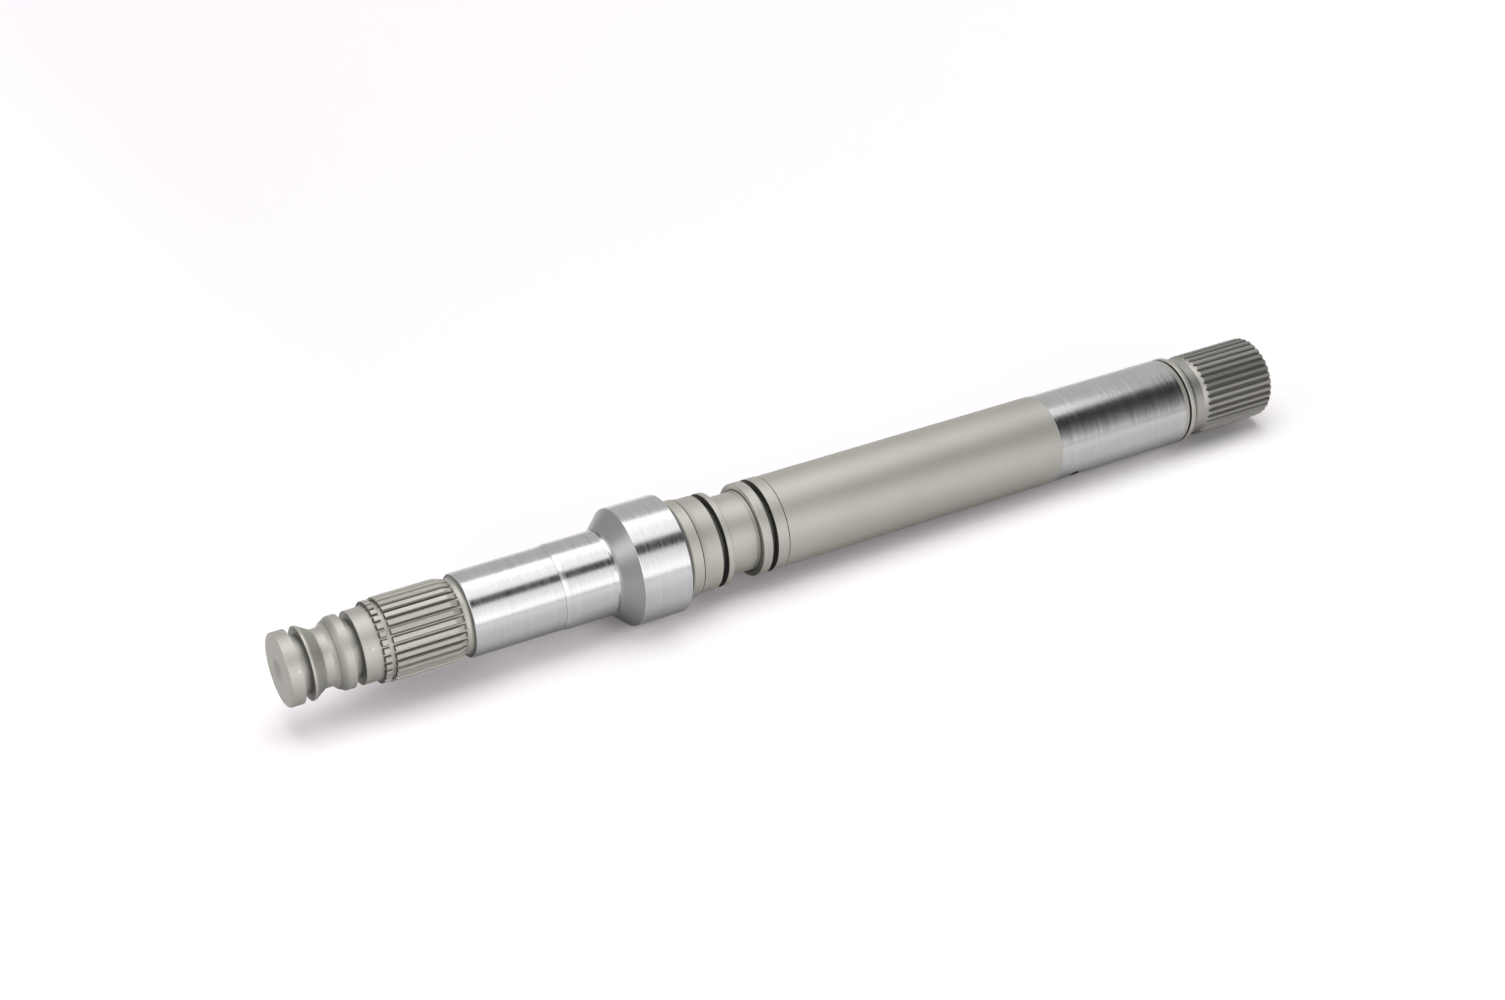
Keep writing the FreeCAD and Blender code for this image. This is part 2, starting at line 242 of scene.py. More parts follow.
turning.step(HUB_RADIUS, NECK_FILLET)
turning.draw(HUB_LENGTH)
hub_line = turning.x
turning.scribe(HUB_RADIUS - HUB_LINE_DEPTH, LINE_WIDTH, LINE_DEPTH)
turning.draw(HUB_SLOPE_LENGTH - LINE_WIDTH, SEAL_RADIUS)
turning.draw(SEAL_FIRST_LAND, ease=FINE_EDGE)
seal_grooves = [turning.groove(SEAL_GROOVE_RADIUS, SEAL_GROOVE_WIDTH, FINE_EDGE)]
turning.draw(SEAL_LEFT_LIP, ease=SOFT_EDGE)
turning.step(NECK_RADIUS, NECK_FILLET)
turning.draw(NECK_LENGTH / 2)
neck_hole_x = turning.x
turning.draw(NECK_LENGTH / 2, ease=NECK_FILLET)
neck_end = turning.x
turning.step(SEAL_RADIUS, SOFT_EDGE)
turning.draw(SEAL_RIGHT_LIP, ease=FINE_EDGE)
seal_grooves.append(turning.groove(SEAL_GROOVE_RADIUS, SEAL_GROOVE_WIDTH, FINE_EDGE))
turning.draw(SEAL_LAST_LAND, ease=FINE_EDGE)

# Turned blank: body and rear journal
# The long body is only blasted. The journal behind it is ground to a smaller size, with a narrow relief
# groove and a thrust land at its right end.
BODY_RADIUS = 17.775 * MM
BODY_LENGTH = 124.25 * MM
REAR_JOURNAL_RADIUS = 17.575 * MM
REAR_JOURNAL_LENGTH = 60.9 * MM
REAR_SLOPE_LENGTH = 2.05 * MM
REAR_SLOPE_DEPTH = 0.22 * MM
REAR_GROOVE_RADIUS = 16.1 * MM
REAR_GROOVE_WIDTH = 0.95 * MM
THRUST_LAND = 1.95 * MM
JOURNAL_HOLE_FROM_EDGE = 9.4 * MM
HOLE_MARGIN = 4.0 * MM

body_line = turning.x
turning.scribe(BODY_RADIUS, LINE_WIDTH, LINE_DEPTH)
turning.draw(BODY_LENGTH - LINE_WIDTH, ease=FINE_EDGE)
rear_journal_start = turning.x
turning.step(REAR_JOURNAL_RADIUS)
turning.draw(JOURNAL_HOLE_FROM_EDGE - HOLE_MARGIN)
turning.draw(2 * HOLE_MARGIN)
turning.draw(REAR_JOURNAL_LENGTH - JOURNAL_HOLE_FROM_EDGE - HOLE_MARGIN, ease=SOFT_EDGE)
turning.draw(REAR_SLOPE_LENGTH, REAR_JOURNAL_RADIUS - REAR_SLOPE_DEPTH, FINE_EDGE)
rear_groove_start = turning.x
turning.step(REAR_GROOVE_RADIUS, FINE_EDGE)
turning.draw(REAR_GROOVE_WIDTH, ease=FINE_EDGE)
turning.step(REAR_JOURNAL_RADIUS, SOFT_EDGE)
thrust_land_start = turning.x
turning.draw(THRUST_LAND, ease=FINE_EDGE)
thrust_land_end = turning.x

# Turned blank: rear spline and oil bore
# A plain seat and a short sloped lead, the tips of the teeth, the end face, and inside it the blind oil bore
# with a drilled tip. Close stations follow the cutter's arc, on which each space begins in the lead.
REAR_SEAT_RADIUS = 15.55 * MM
REAR_SEAT_LENGTH = 6.35 * MM
REAR_LEAD_LENGTH = 1.6 * MM
LEAD_STATIONS = 4
REAR_TOOTH_RADIUS = 16.55 * MM
REAR_ROOT_RADIUS = 15.3 * MM
REAR_END_CHAMFER = 0.6 * MM
RUN_OUT_RADIUS = 4.0 * MM
RUN_OUT_START = 2.0 * MM
RUN_OUT_STATIONS = 8
BORE_RADIUS = 4.5 * MM
BORE_MOUTH_RADIUS = 6.5 * MM
BORE_PAST_NECK_HOLE = 6.0 * MM
BORE_TIP = 2.7 * MM

turning.step(REAR_SEAT_RADIUS, NECK_FILLET)
turning.draw(REAR_SEAT_LENGTH, ease=SOFT_EDGE)
lead_start = turning.x
for station in range(LEAD_STATIONS):
    rise = (REAR_TOOTH_RADIUS - REAR_SEAT_RADIUS) / LEAD_STATIONS
    turning.draw(REAR_LEAD_LENGTH / LEAD_STATIONS, turning.radius + rise)
rear_spline_start = turning.x
run_out_end = rear_spline_start + RUN_OUT_START
for station in range(RUN_OUT_STATIONS):
    turning.draw(RUN_OUT_START / RUN_OUT_STATIONS)
turning.draw(high.x - REAR_END_CHAMFER - turning.x, ease=FINE_EDGE)
turning.draw(REAR_END_CHAMFER, REAR_TOOTH_RADIUS - REAR_END_CHAMFER)
turning.step(BORE_MOUTH_RADIUS, SOFT_EDGE)
turning.draw(BORE_RADIUS - BORE_MOUTH_RADIUS, BORE_RADIUS)
turning.draw(neck_hole_x - BORE_PAST_NECK_HOLE - turning.x)
turning.draw(-BORE_TIP, 0.0)

# Turning
# The corners are eased, finer or coarser by their size, and the section is spun round the shaft's axis.
# Each space of both splines, with its tooth, takes a whole number of the steps of this turn.
COLUMNS = 420
FINE_SEGMENTS = 2
SOFT_SEGMENTS = 3
FILLET_SEGMENTS = 6
SAME_POINT = 0.0005 * MM

for ease in turning.eases:
    segments = FILLET_SEGMENTS
    if ease < SOFT_EDGE:
        segments = FINE_SEGMENTS
    elif ease < NECK_FILLET:
        segments = SOFT_SEGMENTS
    turning.ease_corners(shaft, ease, segments)
bpy.ops.mesh.select_all(action="SELECT")
bpy.ops.mesh.spin(steps=COLUMNS, angle=2 * math.pi, center=(0, 0, 0), axis=(1, 0, 0))
bpy.ops.mesh.select_all(action="SELECT")
bpy.ops.mesh.remove_doubles(threshold=SAME_POINT)
bpy.ops.mesh.normals_make_consistent(inside=False)
bpy.ops.object.mode_set(mode="OBJECT")

# Tooth spaces
# Both splines are cut into the turned tips: straight flanks with eased tips and roots. Every column of the
# turned mesh takes its own place across the nearest space, so the tooth form is exact all along.
FRONT_TOOTH_COUNT = 30
FRONT_SPACE_FLOOR = 0.6 * MM
FRONT_FLANK_ANGLE = math.radians(18)
FRONT_FIRST_SPACE = math.radians(5.5)
REAR_TOOTH_COUNT = 35
REAR_SPACE_FLOOR = 0.5 * MM
REAR_FLANK_ANGLE = math.radians(30)
REAR_FIRST_SPACE = math.radians(3.8)
TOOTH_EASE = 0.08 * MM
MOST_EASE = 0.3
FLAT_FLOOR = 0.7
ROOT_FILL = 0.3
LEAST_DEPTH = 0.02 * MM
LEAD_MARGIN = 0.1 * MM


def across_space(step, steps, depth, floor, flank_angle, pitch_width):
    """How far from a space's middle one of its columns lies, and how deep below the tooth tips."""
    ease = min(TOOTH_EASE, MOST_EASE * depth)
    half_floor = floor / 2
    slope = math.tan(flank_angle)
    half_top = half_floor + depth * slope
    places = [
        (0.0, depth),
        (half_floor * FLAT_FLOOR, depth),
        (half_floor + ease * slope + ease * ROOT_FILL, depth - ease),
        ((half_floor + half_top) / 2, depth / 2),
        (half_top - ease * slope, ease),
        (half_top + ease, 0.0),
    ]
    if step < len(places):
        return places[step]
    share = (step - len(places) + 1) / (steps - len(places) + 1)
    last = places[-1][0]
    return last + (pitch_width / 2 - last) * share, 0.0


def cut_spaces(start, end, count, first_space, floor, flank_angle, root_at):
    """Presses one spline's columns to the form of its spaces; root_at gives the root's radius at a place."""
    pitch = 2 * math.pi / count
    columns = COLUMNS // count
    for vertex in shaft.data.vertices:
        x, y, z = vertex.co
        radius = math.hypot(y, z)
        if not start - TOUCH < x < end + TOUCH or radius < root_at(x) + LEAST_DEPTH:
            continue
        turns = (math.atan2(-y, z) - first_space) / pitch
        column = round((turns - math.floor(turns)) * columns)
        step = min(column, columns - column)
        side = 1 if column <= columns / 2 else -1
        space = math.floor(turns) + (0 if side > 0 else 1)
        offset, depth = across_space(
            step, columns // 2, radius - root_at(x), floor, flank_angle, radius * pitch
        )
        turn = first_space + space * pitch + side * offset / radius
        radius -= depth
        vertex.co = (x, -radius * math.sin(turn), radius * math.cos(turn))


def front_root(x):
    """One radius all along."""
    return FRONT_ROOT_RADIUS


def rear_root(x):
    """The cutter's arc, which comes down from the lead, and then the straight root."""
    before = min(max(run_out_end - x, 0.0), RUN_OUT_RADIUS)
    return REAR_ROOT_RADIUS + RUN_OUT_RADIUS - math.sqrt(RUN_OUT_RADIUS ** 2 - before ** 2)


cut_spaces(
    front_spline_start, front_spline_end, FRONT_TOOTH_COUNT, FRONT_FIRST_SPACE,
    FRONT_SPACE_FLOOR, FRONT_FLANK_ANGLE, front_root,
)
cut_spaces(
    lead_start + LEAD_MARGIN, high.x, REAR_TOOTH_COUNT, REAR_FIRST_SPACE,
    REAR_SPACE_FLOOR, REAR_FLANK_ANGLE, rear_root,
)

# Oil holes
# Two drilled cross holes lead into the bore: one from the neck between the ring grooves, one from the rear
# journal near its left edge. Each goes through one side only.
NECK_HOLE_RADIUS = 2.5 * MM
NECK_HOLE_TURN = math.radians(233)
JOURNAL_HOLE_RADIUS = 2.1 * MM
JOURNAL_HOLE_TURN = math.radians(130)
DRILL_LENGTH = 24 * MM
DRILL_SIDES = 32


def drill_hole(x, radius, turn):
    """Drills from outside the shaft down to its axis."""
    bpy.ops.object.select_all(action="DESELECT")
    middle = DRILL_LENGTH / 2
    place = (x, -middle * math.sin(turn), middle * math.cos(turn))
    bpy.ops.mesh.primitive_cylinder_add(
        vertices=DRILL_SIDES, radius=radius, depth=DRILL_LENGTH, location=place, rotation=(turn, 0, 0)
    )
    drill = bpy.context.object
    bpy.ops.object.select_all(action="DESELECT")
    shaft.select_set(True)
    bpy.context.view_layer.objects.active = shaft
    cut = shaft.modifiers.new("drill", "BOOLEAN")
    cut.operation = "DIFFERENCE"
    cut.solver = "EXACT"
    cut.object = drill
    bpy.ops.object.modifier_apply(modifier=cut.name)
    bpy.data.objects.remove(drill)


drill_hole(neck_hole_x, NECK_HOLE_RADIUS, NECK_HOLE_TURN)
drill_hole(rear_journal_start + JOURNAL_HOLE_FROM_EDGE, JOURNAL_HOLE_RADIUS, JOURNAL_HOLE_TURN)

# Blasted steel
# Everything but the running surfaces was blasted after hardening: an even, matte, warm grey with a fine
# grain. Painted shade darkens the ring grooves, the waist, the tooth flanks and the corners at the shoulder,
# behind the flange and at the neck's end. Two small bright, glossier dots lie on the pilot.
BLASTED_COLOR = (0.525, 0.515, 0.468)
BLASTED_ROUGHNESS = 0.53
BLASTED_GRAIN = 2600
BLASTED_CLOUD = 45


class Link:
    """One output of a node; arithmetic on it adds Math nodes to the same tree."""

    def __init__(self, tree, socket):
        self.tree = tree
        self.socket = socket

    def math(self, operation, *values):
        return self.tree.node("Math", {"operation": operation}, values)

    def __add__(self, other):
        return self.math("ADD", self, other)

    def __radd__(self, other):
        return self.math("ADD", other, self)

    def __sub__(self, other):
        return self.math("SUBTRACT", self, other)

    def __rsub__(self, other):
        return self.math("SUBTRACT", other, self)

    def __mul__(self, other):
        return self.math("MULTIPLY", self, other)

    def __rmul__(self, other):
        return self.math("MULTIPLY", other, self)

    def between(self, low, high):
        """Rises smoothly from 0 at the low value to 1 at the high one."""
        inputs = {"Value": self, "From Min": low, "From Max": high}
        return self.tree.node("MapRange", {"interpolation_type": "SMOOTHSTEP"}, inputs)

    def band(self, ranges, place=0.0):
        """Rises from 0 to 1 over the first two of four values and falls back over the last two."""
        rise_start, rise_end, fall_start, fall_end = (place + distance * MM for distance in ranges)
        return self.between(rise_start, rise_end) * (1 - self.between(fall_start, fall_end))

    def darkened(self, mask, share):
        """Loses this share of itself where the mask is 1."""
        return self * (1 - mask * share)


class Tree:
    """A node tree whose nodes are added one call at a time."""

    def __init__(self, owner):
        owner.use_nodes = True
        self.nodes = owner.node_tree.nodes
        self.links = owner.node_tree.links

    def node(self, kind, settings, inputs, output=0):
        """A node of this kind with its settings made first, then the values or links of its sockets."""
        node = self.nodes.new("ShaderNode" + kind)
        for key, value in settings.items():
            setattr(node, key, value)
        named = inputs.items() if isinstance(inputs, dict) else enumerate(inputs)
        for key, value in named:
            self.feed(node.inputs[key], value)
        return Link(self, node.outputs[output])

    def feed(self, socket, value):
        if isinstance(value, Link):
            self.links.new(value.socket, socket)
        else:
            socket.default_value = value


class Finish(Tree):
    """A material with one Principled shader."""

    def __init__(self, name):
        self.material = bpy.data.materials.new(name)
        super().__init__(self.material)
        self.shader = self.nodes["Principled BSDF"]
        self.place = self.node("TexCoord", {}, {}, "Object")

    def axis(self, name):
        """The place along one axis."""
        return self.node("SeparateXYZ", {}, (self.place,), name)

    def stretched(self, along, around):
        """Object coordinates scaled along the shaft's axis and across it."""
        return self.node("Mapping", {}, {"Vector": self.place, "Scale": (along, around, around)})

    def radius(self):
        """How far the place lies from the shaft's axis."""
        return self.node("VectorMath", {"operation": "LENGTH"}, (self.stretched(0, 1),), "Value")

    def noise(self, place, scale, detail):
        return self.node("TexNoise", {}, {"Vector": place, "Scale": scale, "Detail": detail})

    def tinted(self, color, lightness):
        """A colour made lighter or darker by a factor that varies over the surface."""
        return self.node("VectorMath", {"operation": "SCALE"}, {0: color, "Scale": lightness})

    def steel(self, color, lightness, roughness):
        """Makes the shader bare metal of this colour."""
        self.feed(self.shader.inputs["Metallic"], 1.0)
        self.feed(self.shader.inputs["Base Color"], self.tinted(color, lightness))
        self.feed(self.shader.inputs["Roughness"], roughness)

    def bump(self, height, strength, distance):
        inputs = {"Height": height, "Strength": strength, "Distance": distance}
        self.feed(self.shader.inputs["Normal"], self.node("Bump", {}, inputs))


# Each shade below is painted shade: the share of its lightness that a place loses, and a range is in mm
# from where it belongs.
GROOVE_SHADE = 0.78
GROOVE_RANGE = (-2.7, 0.0, -0.02, 0.02)
WAIST_SHADE = 0.2
WAIST_RANGE = (0.0, 0.6, 3.85, 4.45)
KNEE_SHADE = 0.32
KNEE_RANGE = (-0.9, 0.0, 0.4, 3.45)
SHOULDER_SHADE = 0.45
SHOULDER_RANGE = (-1.2, -0.1, 0.0, 0.01)
HUB_SHADE = 0.7
HUB_RANGE = (0.0, 0.1, 2.2, 3.2)
HUB_HEIGHTS = (HUB_RADIUS + 0.1 * MM, HUB_RADIUS + 1.0 * MM)
NECK_SHADE = 0.45
NECK_RANGE = (-2.0, -0.2, 0.02, 0.06)
NECK_HEIGHTS = (9 * MM, 16 * MM)
FLANK_SHADE = 0.56
FLANK_RANGE = (0.02, 0.1, 0.45, 1.05)
FLANK_FADE = 0.5 * MM
LOWER_FLANK_LIGHT = 0.6
LOWER_FLANK_HEIGHTS = (-4 * MM, 2.5 * MM)
MARK_LIGHT = 0.5
MARK_RADIUS = 0.45 * MM
MARK_TURN = math.radians(64)
MARK_PLACES = (low.x + 4.05 * MM, low.x + 30.8 * MM)


def bright_dot(finish, x):
    """1 on a small round spot at this place on the pilot, and 0 outside it."""
    spot = (x, -PILOT_RADIUS * math.sin(MARK_TURN), PILOT_RADIUS * math.cos(MARK_TURN))
    inputs = {0: finish.place, 1: spot}
    distance = finish.node("VectorMath", {"operation": "DISTANCE"}, inputs, "Value")
    return 1 - distance.between(0.2 * MARK_RADIUS, 1.1 * MARK_RADIUS)


blasted = Finish("blasted steel")
grain = blasted.noise(blasted.place, BLASTED_GRAIN, 3)
cloud = blasted.noise(blasted.place, BLASTED_CLOUD, 3)
mark = bright_dot(blasted, MARK_PLACES[0]) + bright_dot(blasted, MARK_PLACES[1])
along = blasted.axis("X")
height = blasted.axis("Z")
radius = blasted.radius()
toothed = along.between(front_spline_start, front_spline_start + TOUCH)
toothed = toothed * (1 - along.between(front_spline_end - FLANK_FADE, front_spline_end))
# Painted shade on the front teeth's flanks, kept lighter on the lower side of the shaft.
lower = 1 - height.between(*LOWER_FLANK_HEIGHTS)
flank = toothed * radius.band(FLANK_RANGE, FRONT_ROOT_RADIUS)
# Painted shade in the corner behind the flange and, lower down on the shaft, at the neck's end.
hub_corner = along.band(HUB_RANGE, flange_end) * (1 - radius.between(*HUB_HEIGHTS))
neck_corner = along.band(NECK_RANGE, neck_end) * (1 - height.between(*NECK_HEIGHTS))
lightness = 0.91 + cloud * 0.11 + grain * 0.07 + mark * MARK_LIGHT
for mask, share in (
    (along.band(GROOVE_RANGE, pilot_grooves[0] + PILOT_GROOVE_WIDTH), GROOVE_SHADE),
    (along.band(GROOVE_RANGE, pilot_grooves[1] + PILOT_GROOVE_WIDTH), GROOVE_SHADE),
    (along.band(WAIST_RANGE, waist_start), WAIST_SHADE),
    (along.band(KNEE_RANGE, waist_knee), KNEE_SHADE),
    (flank.darkened(lower, LOWER_FLANK_LIGHT), FLANK_SHADE),
    (along.band(SHOULDER_RANGE, clutch_journal_start), SHOULDER_SHADE),
    (hub_corner, HUB_SHADE),
    (neck_corner, NECK_SHADE),
):
    lightness = lightness.darkened(mask, share)
blasted.steel(BLASTED_COLOR, lightness, BLASTED_ROUGHNESS - 0.03 + grain * 0.06 - mark * 0.15)
blasted.bump(grain, 0.25, 0.02 * MM)

# Recesses
# The walls inside the ring grooves and under the shoulders, the corners behind the flange and at the neck's
# end, the front spline's left faces and the scribed lines get a dark finish: painted shade.
RECESS_SHADE_COLOR = (0.13, 0.125, 0.115)
RECESS_ROUGHNESS = 0.6
RECESS_GRAIN = 1800

recess_shade = Finish("recess_shade")
recess_grain = recess_shade.noise(recess_shade.place, RECESS_GRAIN, 2)
recess_shade.steel(RECESS_SHADE_COLOR, 0.8 + recess_grain * 0.4, RECESS_ROUGHNESS - 0.05 + recess_grain * 0.1)
recess_shade.bump(recess_grain, 0.2, 0.02 * MM)

# Ground steel
# The journals and the flange's rim are ground bright, with fine lines round the shaft. The corner before
# the flange's cone is darker, in dashes.
GROUND_COLOR = (0.58, 0.58, 0.583)
GROUND_ROUGHNESS = 0.22
CORNER_SHADE = 0.7
CORNER_RANGE = (-1.6, -0.3, 0.0, 6.85)

ground = Finish("ground steel")
lines = ground.noise(ground.stretched(3200, 30), 1.0, 4).between(0.3, 0.7)
streaks = ground.noise(ground.stretched(900, 45), 1.0, 3).between(0.3, 0.7)
patches = ground.noise(ground.stretched(60, 90), 1.0, 2)
dark_dashes = ground.noise(ground.stretched(420, 160), 1.0, 3).between(0.42, 0.62)
corner = ground.axis("X").band(CORNER_RANGE, cone_start)
lightness = (0.89 + streaks * 0.04 + lines * 0.1 + patches * 0.07).darkened(corner * dark_dashes, CORNER_SHADE)
ground.steel(GROUND_COLOR, lightness, GROUND_ROUGHNESS - 0.06 + lines * 0.08 + streaks * 0.03)
ground.bump(lines + streaks * 0.4, 0.4, 0.012 * MM)

# Turned cone
# The flange's cone is turned and lightly ground: duller than the journals, with coarser lines. The line
# scribed before the step between the journals has the same look.
CONE_COLOR = (0.35, 0.35, 0.345)
CONE_ROUGHNESS = 0.34

cone = Finish("turned cone")
cone_lines = cone.noise(cone.stretched(3000, 40), 1.0, 3)
cone.steel(CONE_COLOR, 0.92 + cone_lines * 0.14, CONE_ROUGHNESS - 0.04 + cone_lines * 0.08)
cone.bump(cone_lines, 0.3, 0.01 * MM)

# Hobbed steel
# The rear spline and its seat keep more of the cutter's own surface than the rest: darker and a little
# glossier. Painted shade makes the spaces darker than the tips and darkens the seat's corner under the
# thrust land, while the rest of the seat is paler. The centre hole in the pilot's face has this finish too.
HOBBED_COLOR = (0.39, 0.38, 0.352)
HOBBED_ROUGHNESS = 0.45
HOBBED_GRAIN = 2400
VALLEY_SHADE = 0.38
VALLEY_HEIGHTS = (REAR_ROOT_RADIUS + 0.1 * MM, REAR_TOOTH_RADIUS - 0.1 * MM)
VALLEY_START = 0.6 * MM
VALLEY_END = 0.4 * MM
SEAT_LIFT = 0.16
SEAT_BLUR = 0.3 * MM
SEAT_CORNER_SHADE = 0.6
SEAT_CORNER_RANGE = (-1.95, 0.0, 1.7, 2.9)

hobbed = Finish("hobbed steel")
hob_grain = hobbed.noise(hobbed.place, HOBBED_GRAIN, 3)
along = hobbed.axis("X")
# Painted shade in the rear spline's spaces and in the seat's corner under the thrust land.
valley = 1 - hobbed.radius().between(*VALLEY_HEIGHTS)
valley = valley * along.between(lead_start + VALLEY_START, rear_spline_start + VALLEY_END)
seat = 1 - along.between(lead_start - SEAT_BLUR, lead_start + SEAT_BLUR)
seat_corner = along.band(SEAT_CORNER_RANGE, thrust_land_end)
lightness = (0.94 + hob_grain * 0.1).darkened(valley, VALLEY_SHADE) * (1 + seat * SEAT_LIFT)
lightness = lightness.darkened(seat_corner, SEAT_CORNER_SHADE)
hobbed.steel(HOBBED_COLOR, lightness, HOBBED_ROUGHNESS - 0.03 + hob_grain * 0.06)
hobbed.bump(hob_grain, 0.2, 0.02 * MM)

# Finished shaft
# Each face gets its finish by where it lies along the shaft and how far from its axis, and the mesh then
# stands for the solid. A recess has a start and an end along the shaft, and an inner and an outer radius.
GROUND_ZONES = (
    (clutch_journal_start, cone_start),
    (flange_start, flange_end),
    (rear_journal_start, rear_groove_start - REAR_SLOPE_LENGTH),
)
TURNED_ZONES = (
    (cone_start, flange_start),
    (journal_step_start, journal_step_start + TOOL_LINE_WIDTH),
)
WALL = 0.05 * MM
NECK_CORNER_WIDTH = 0.3 * MM
NECK_CORNER_HEIGHT = 1.2 * MM
HUB_CORNER_WIDTH = 0.4 * MM
RING_WALL_WIDTH = 0.6 * RING_CHAMFER
# Each recess gets the dark finish of painted shade.
RECESSES = (
    (seal_grooves[0] + WALL, seal_grooves[0] + SEAL_GROOVE_WIDTH + WALL, 0, SEAL_RADIUS - FINE_EDGE),
    (seal_grooves[1] + WALL, seal_grooves[1] + SEAL_GROOVE_WIDTH + WALL, 0, SEAL_RADIUS - FINE_EDGE),
    (neck_end - NECK_CORNER_WIDTH, neck_end + WALL, 0, NECK_RADIUS + NECK_CORNER_HEIGHT),
    (flange_end + TOUCH, flange_end + HUB_CORNER_WIDTH, 0, HUB_RADIUS + NECK_FILLET),
    (hub_line, hub_line + LINE_WIDTH, 0, HUB_RADIUS),
    (body_line, body_line + LINE_WIDTH, 0, SEAL_RADIUS),
    (front_spline_start - WALL, front_spline_start + RING_WALL_WIDTH, FRONT_ROOT_RADIUS, RING_RADIUS),
    (front_teeth_start - WALL, front_teeth_start + TOUCH, FRONT_ROOT_RADIUS, FRONT_TOOTH_RADIUS),
    (
        clutch_journal_start - WALL, clutch_journal_start + WALL,
        0, CLUTCH_JOURNAL_RADIUS - 2 * JOURNAL_CHAMFER,
    ),
    (
        rear_groove_start - WALL, thrust_land_start + WALL,
        0, REAR_JOURNAL_RADIUS - REAR_SLOPE_DEPTH - FINE_EDGE,
    ),
)
MOUTH_REACH = 5 * MM
SMOOTH_ANGLE = math.radians(32)
FINISHES = (blasted, ground, cone, hobbed, recess_shade)


def finish_at(x, radius):
    """The finish of the faces at this place along the shaft and this far from its axis."""
    if radius < CENTRE_HOLE_RADIUS:
        return hobbed
    if x > high.x - MOUTH_REACH and radius < BORE_MOUTH_RADIUS:
        return blasted
    if any(start < x < end and inside < radius < outside for start, end, inside, outside in RECESSES):
        return recess_shade
    if any(start < x < end for start, end in TURNED_ZONES):
        return cone
    if any(start < x < end for start, end in GROUND_ZONES):
        return ground
    return hobbed if x > thrust_land_end else blasted


for finish in FINISHES:
    shaft.data.materials.append(finish.material)
for face in shaft.data.polygons:
    middle = face.center
    face.material_index = FINISHES.index(finish_at(middle.x, math.hypot(middle.y, middle.z)))
bpy.ops.object.shade_smooth_by_angle(angle=SMOOTH_ANGLE)
even = shaft.modifiers.new("even shading", "WEIGHTED_NORMAL")
even.keep_sharp = True
bpy.ops.object.modifier_apply(modifier=even.name)
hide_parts("input_shaft")
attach(shaft, "root")

# Floor
# A plain white floor. The shaft lies on the flange's rim and the thrust land, so the floor climbs a little
# under it towards the rear, and the pilot end stands clear. Painted shadow darkens the floor where the shaft
# touches it and close under it, and more in what the shaft mirrors. The camera sees the floor lighter, with
# painted light that lightens the shadow under the pilot end, the journals and the body, and far off; the
# shaft mirrors it lighter too, except close to it and towards the rear.
FLOOR_COLOR = (0.9, 0.888, 0.9)
FLOOR_LIFT = (0.14, 0.125, 0.135)
FLOOR_ROUGHNESS = 0.9
FLOOR_REACH = 12.0
FLOOR_GAP = 0.02 * MM

# Ranges are in mm from under the flange's end, and a patch has one range along the shaft and one across it.
NEAR_SHADE = 0.22
NEAR_RANGE = (-130, -15, 15, 130)
UNDER_BODY_SHADE = 0.16
UNDER_BODY_RANGE = (20, 120, 165, 190)
CONTACT_SHADE = 0.3
CONTACT_LIFT_SHADE = 0.5
FLANGE_PATCH = ((-38, -18, -14, -2), (-12, -2, 8, 24))
LAND_PATCH = ((215, 245, 255, 280), (-24, -8, 8, 24))
CORE_SHADE = 0.28
CORE_PATCH = ((-5, 20, 210, 250), (-12.5, -4, 4, 16))
FRONT_CORE_SHARE = 0.8
FRONT_CORE_PATCH = ((-135, -100, -10, 0), (-15, 6, 16, 26))
BODY_LIFT = 0.4
BODY_PATCH = ((-15, 0, 160, 200), (-34, -18, -16, -9))
JOURNAL_LIFT = 0.6
JOURNAL_PATCH = ((-85, -60, -20, -5), (-30, -14, 4, 12))
FAR_LIFT = 4.0
FAR_START, FAR_END = 200 * MM, 1400 * MM
LEFT_LIFT = 1.1
LEFT_START, LEFT_END = -170 * MM, -30 * MM
MIRROR_START, MIRROR_END = 100 * MM, 400 * MM

slope = math.atan2(FLANGE_RADIUS - REAR_JOURNAL_RADIUS, thrust_land_end - flange_end)
bpy.ops.object.select_all(action="DESELECT")
bpy.ops.mesh.primitive_plane_add(size=FLOOR_REACH, location=(0, 0, 0))
floor = bpy.context.object
floor.name = "floor"
floor.rotation_euler = (0, -slope, 0)
floor.location = Vector((flange_end, 0, -FLANGE_RADIUS - FLOOR_GAP))
white = Finish("white floor")
white.feed(white.shader.inputs["Roughness"], FLOOR_ROUGHNESS)
white.feed(white.shader.inputs["Specular IOR Level"], 0.0)
seen = white.node("LightPath", {}, {}, "Is Camera Ray")
mirrored = white.node("LightPath", {}, {}, "Is Glossy Ray")
along = white.axis("X")
across = white.axis("Y")


def patch(ranges):
    """1 on a patch of floor with soft edges, and 0 outside it."""
    along_ranges, across_ranges = ranges
    return along.band(along_ranges) * across.band(across_ranges)


# Painted shadow: near, contact and core darken the floor beside and under the shaft.
near = across.band(NEAR_RANGE)
near_shade = NEAR_SHADE + along.band(UNDER_BODY_RANGE) * UNDER_BODY_SHADE
contact = patch(FLANGE_PATCH) + patch(LAND_PATCH)
core = patch(CORE_PATCH) + seen * patch(FRONT_CORE_PATCH) * FRONT_CORE_SHARE
shade = (1 - mirrored * near * near_shade).darkened(contact, CONTACT_SHADE).darkened(core, CORE_SHADE)
white.feed(white.shader.inputs["Base Color"], white.tinted(FLOOR_COLOR, shade))
reach = white.node("VectorMath", {"operation": "LENGTH"}, (white.place,), "Value")
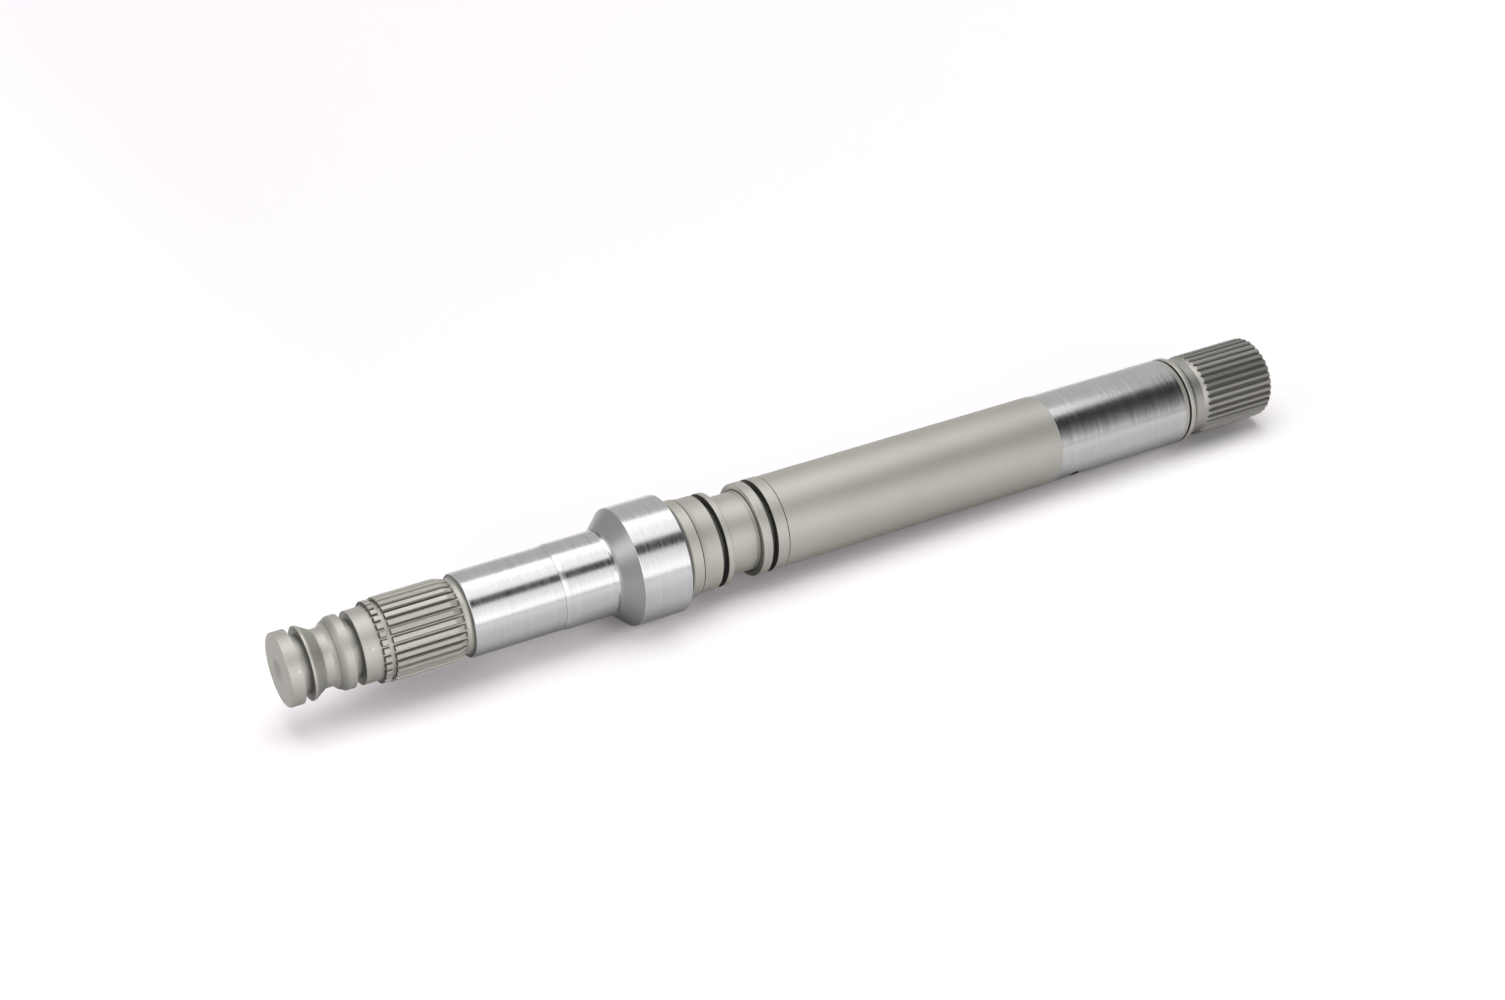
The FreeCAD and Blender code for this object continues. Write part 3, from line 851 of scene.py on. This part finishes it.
# Painted light: the camera sees the floor lighter far off, at the pilot end and before body and journals.
brighter = reach.between(FAR_START, FAR_END) * FAR_LIFT
brighter = brighter + (1 - along.between(LEFT_START, LEFT_END)) * LEFT_LIFT
brighter = brighter + patch(BODY_PATCH) * BODY_LIFT + patch(JOURNAL_PATCH) * JOURNAL_LIFT
mirrored = mirrored * (1 - near) * (1 - along.between(MIRROR_START, MIRROR_END))
strength = seen * (1 + brighter) + mirrored
strength = strength.darkened(contact, CONTACT_LIFT_SHADE).darkened(core, CORE_SHADE)
lift = white.node("Emission", {}, {"Color": (*FLOOR_LIFT, 1), "Strength": strength})
paint = Link(white, white.shader.outputs[0])
white.feed(white.nodes["Material Output"].inputs["Surface"], white.node("AddShader", {}, (paint, lift)))
floor.data.materials.append(white.material)

# Studio light
# A wide oval softbox hangs over the shaft, a white wall stands behind the camera and a window is on the left.
# Between softbox and wall is a dark gap, which the ground journals show as one dark line. The room is pale,
# but dark above to the right. One more lamp, which metal does not mirror, whitens the floor.
ROOM_LEVEL = 0.66
DARK_LEVEL = 0.03
FILL_LEVEL = 0.12
DARK_SIDE = Vector((0.5, -0.45, 0.74)).normalized()
DARK_START, DARK_END = 0.64, 0.88
ABOVE_START, ABOVE_END = -0.3, 0.75
WHITE = (1, 1, 1, 1)


def softbox(name, shape, place, aim, length, width, radiance):
    """An area light that shines at a plain radiance, as a lit panel would."""
    area = length * width * (math.pi / 4 if shape == "ELLIPSE" else 1)
    data = bpy.data.lights.new(name, "AREA")
    data.shape = shape
    data.size = length
    data.size_y = width
    data.energy = radiance * math.pi * area
    light = bpy.data.objects.new(name, data)
    light.location = place
    light.rotation_euler = (Vector(aim) - Vector(place)).to_track_quat("-Z", "Y").to_euler()
    bpy.context.scene.collection.objects.link(light)
    return light


softbox("overhead softbox", "ELLIPSE", (0.12, 0.08, 1.0), (0.12, 0.08, 0.0), 1.5, 1.07, 1.5)
softbox("front wall", "RECTANGLE", (-0.16, -1.3, 0.69), (-0.16, 0.0, 0.69), 2.08, 1.32, 1.22)
softbox("left window", "RECTANGLE", (-1.1, -0.08, 0.72), (0.0, 0.0, 0.0), 0.6, 0.6, 1.5)
key = softbox("floor key", "ELLIPSE", (0.12, 0.08, 1.01), (0.12, 0.08, 0.0), 1.2, 1.2, 1.25)
key.visible_glossy = False

world = bpy.data.worlds.new("studio")
bpy.context.scene.world = world
studio = Tree(world)
toward = studio.node("TexCoord", {}, {}, "Generated")
sides = {0: toward, 1: DARK_SIDE}
facing = studio.node("VectorMath", {"operation": "DOT_PRODUCT"}, sides, "Value")
above = studio.node("SeparateXYZ", {}, (toward,), "Z").between(ABOVE_START, ABOVE_END)
level = ROOM_LEVEL + facing.between(DARK_START, DARK_END) * above * (DARK_LEVEL - ROOM_LEVEL)
backdrop = studio.node("Background", {}, {"Color": WHITE, "Strength": 1.0})
studio.feed(studio.nodes["Background"].inputs["Color"], WHITE)
studio.feed(studio.nodes["Background"].inputs["Strength"], level)
room = Link(studio, studio.nodes["Background"].outputs[0])
fill = studio.node("Background", {}, {"Color": WHITE, "Strength": FILL_LEVEL})
diffuse = studio.node("LightPath", {}, {}, "Is Diffuse Ray")
seen = studio.node("LightPath", {}, {}, "Is Camera Ray")
room = studio.node("MixShader", {}, (diffuse, room, fill))
shown = studio.node("MixShader", {}, (seen, room, backdrop))
studio.feed(studio.nodes["World Output"].inputs["Surface"], shown)
